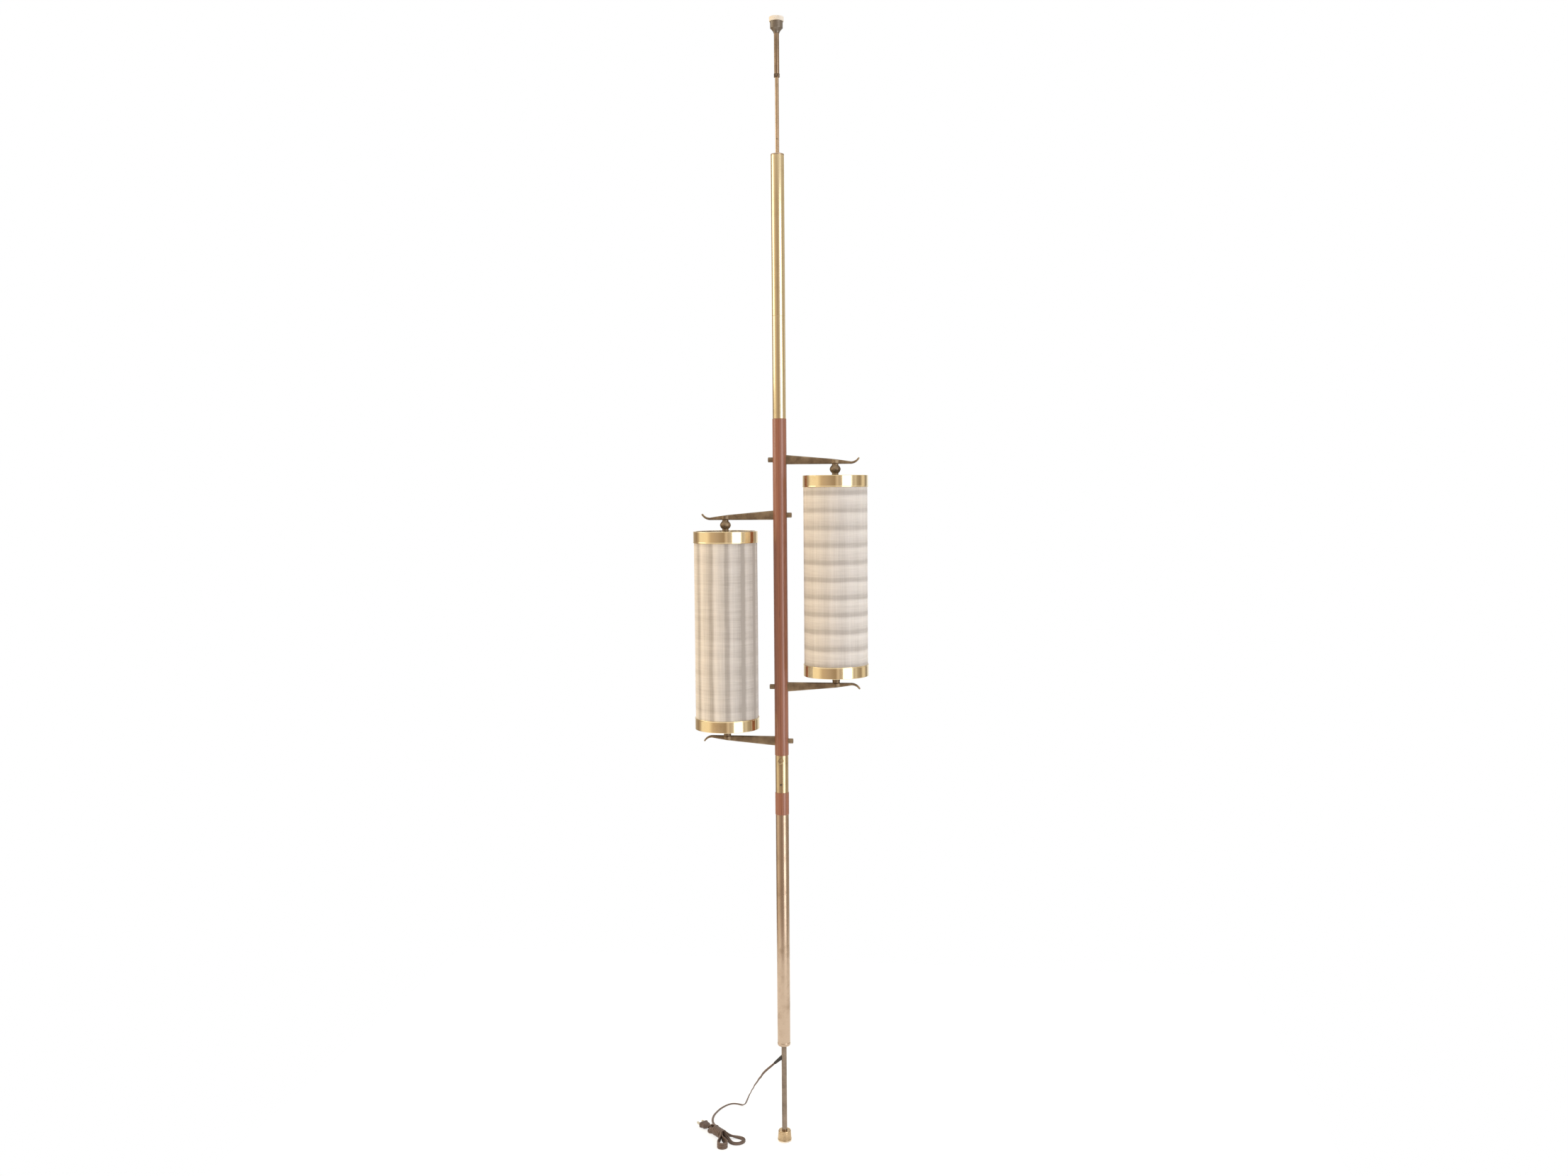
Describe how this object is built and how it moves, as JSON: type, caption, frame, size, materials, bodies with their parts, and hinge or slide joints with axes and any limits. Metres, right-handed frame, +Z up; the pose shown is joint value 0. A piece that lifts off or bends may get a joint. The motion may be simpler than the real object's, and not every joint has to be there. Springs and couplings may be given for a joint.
{
  "type": "tension pole lamp",
  "caption": "Floor-to-ceiling spring tension pole lamp of brass tube and walnut, with tall woven cylinder shades held between curled arms.",
  "frame": {"origin": "on the floor at the axis of the pole", "axes": "+Z up along the pole, +X towards the higher shade, -Y towards the viewer and the switch knob"},
  "size_m": [0.3995, 0.2464, 2.438],
  "materials": {
    "walnut": "satin lacquer over straight walnut grain",
    "pole_brass": "bright lacquered brass plate, lightly brushed along the tube",
    "aged_brass": "aged bronze-toned brass plate, satin",
    "leg_brass": "dark aged brass plate, satin",
    "knob_brass": "worn brass, satin",
    "dark_bronze": "dark bronze, dull",
    "band_brass": "polished brass",
    "arm_brass": "antique brass, dark in the hollows and rubbed on the edges",
    "socket_brass": "thin pressed brass shell",
    "zinc_steel": "zinc plated steel",
    "cup_paint": "olive-brown hammered enamel",
    "ceiling_pad": "pale cream rubber, dull",
    "foot_pad": "pale orange-cream rubber, dull",
    "right_fabric": "translucent linen weave with darker bands across",
    "left_fabric": "translucent linen weave with darker stripes along",
    "bulb_glass": "soft white frosted glass with a steel screw base",
    "dark_plastic": "black moulded plastic",
    "cord_plastic": "brown flexible vinyl, half gloss",
    "plug_plastic": "brown moulded plastic with plated blades"
  },
  "bodies": {
    "pole": {"foot_pad": "foot_pad", "foot_cup": "aged_brass", "leg_tube": "leg_brass", "leg_nut": "zinc_steel", "lower_end_cap": "aged_brass", "lower_tube": "aged_brass", "lower_joiner": "zinc_steel", "walnut_ring": "walnut", "switch_housing": "pole_brass", "housing_screw": "dark_bronze", "switch_body": "dark_plastic", "switch_nut": "pole_brass", "walnut_pole": "walnut", "centre_pipe": "zinc_steel", "pipe_flanges": "zinc_steel", "pipe_nuts": "zinc_steel", "mid_tube": "pole_brass", "tube_joiner": "zinc_steel", "upper_tube": "pole_brass", "spring_seat": "zinc_steel", "top_bush": "aged_brass", "right_upper_arm": "arm_brass", "right_lower_arm": "arm_brass", "left_upper_arm": "arm_brass", "left_lower_arm": "arm_brass", "arm_studs": "zinc_steel", "arm_nuts": "arm_brass", "knuckles": "arm_brass", "spacers": "arm_brass", "upper_pivots": "zinc_steel", "lower_pivots": "zinc_steel", "pivot_nuts": "zinc_steel", "right_socket": "socket_brass", "left_socket": "socket_brass", "right_bulb": "bulb_glass", "left_bulb": "bulb_glass", "wiring": "dark_plastic", "cord_bushing": "dark_plastic", "cord_run": "cord_plastic", "cord_hank": "cord_plastic", "plug": "plug_plastic"},
    "plunger": {"plunger_rod": "leg_brass", "stop_pin": "zinc_steel", "spring_washer": "zinc_steel", "spring": "zinc_steel"},
    "ceiling_head": {"top_sleeve": "leg_brass", "lock_collar": "dark_bronze", "ceiling_cup": "cup_paint", "ceiling_pad": "ceiling_pad"},
    "right_shade_body": {"right_shade": "right_fabric", "right_top_band": "band_brass", "right_bottom_band": "band_brass", "right_spiders": "band_brass"},
    "left_shade_body": {"left_shade": "left_fabric", "left_top_band": "band_brass", "left_bottom_band": "band_brass", "left_spiders": "band_brass"},
    "switch_key": {"switch_knob": "knob_brass"}
  },
  "joints": [
    {"name": "plunger_slide", "type": "slide", "parent": "pole", "child": "plunger", "axis": [0, 0, 1], "range_m": [-0.029, 0], "stiffness_N_per_m": 2500, "springref_m": 0.02, "deforming": ["spring"]},
    {"name": "extension_slide", "type": "slide", "parent": "plunger", "child": "ceiling_head", "axis": [0, 0, 1], "range_m": [-0.055, 0.02]},
    {"name": "right_shade_turn", "type": "hinge", "parent": "pole", "child": "right_shade_body", "pos_m": [0.12, 0, 1.259], "axis": [0, 0, 1], "continuous": true},
    {"name": "left_shade_turn", "type": "hinge", "parent": "pole", "child": "left_shade_body", "pos_m": [-0.12, 0, 1.14], "axis": [0, 0, 1], "continuous": true},
    {"name": "switch_turn", "type": "hinge", "parent": "pole", "child": "switch_key", "pos_m": [0, -0.023, 0.856], "axis": [0, -1, 0], "continuous": true}
  ]
}
